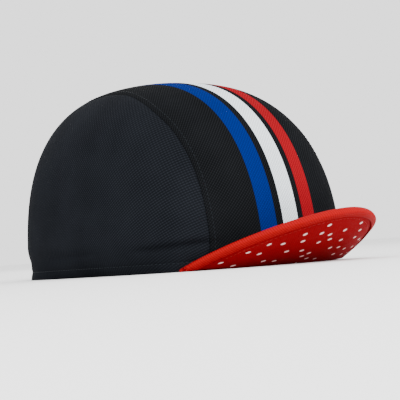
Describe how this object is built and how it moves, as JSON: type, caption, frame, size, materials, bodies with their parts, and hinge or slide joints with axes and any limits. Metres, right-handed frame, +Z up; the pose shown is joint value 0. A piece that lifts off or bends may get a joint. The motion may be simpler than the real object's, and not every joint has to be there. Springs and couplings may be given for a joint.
{
  "type": "cycling cap",
  "caption": "Thin three-panel cycling cap with a striped centre panel, side panels, a short dotted peak turned up at the front, an inner sweatband and elastic at the back.",
  "frame": {"origin": "middle of the cap's bounding box, in the plane of the rim that the cap rests on", "axes": "the peak and forehead point to -Y, the back of the head to +Y, the wearer's left to +X, and +Z up to the crown's top"},
  "size_m": [0.1554, 0.2494, 0.114],
  "materials": {
    "crown_knit": "thin black mesh knit with a blue, a white and a red stripe on the centre panel",
    "side_knit": "thin plain black mesh knit, faintly blue",
    "overlock_thread": "white overlocked seam edge",
    "sweatband_knit": "soft white terry knit",
    "elastic": "ribbed white elastic tape",
    "peak_print": "red cloth with small pale dots",
    "peak_plain": "plain black knit",
    "binding_tape": "finely ribbed red binding tape"
  },
  "bodies": {
    "root": {"center_panel": "crown_knit", "left_side_panel": "side_knit", "right_side_panel": "side_knit", "left_seam_allowance": "overlock_thread", "right_seam_allowance": "overlock_thread", "sweatband": "sweatband_knit", "back_elastic": "elastic", "peak_under_cloth": "peak_print", "peak_top_cloth": "peak_plain", "peak_binding": "binding_tape"}
  },
  "joints": []
}
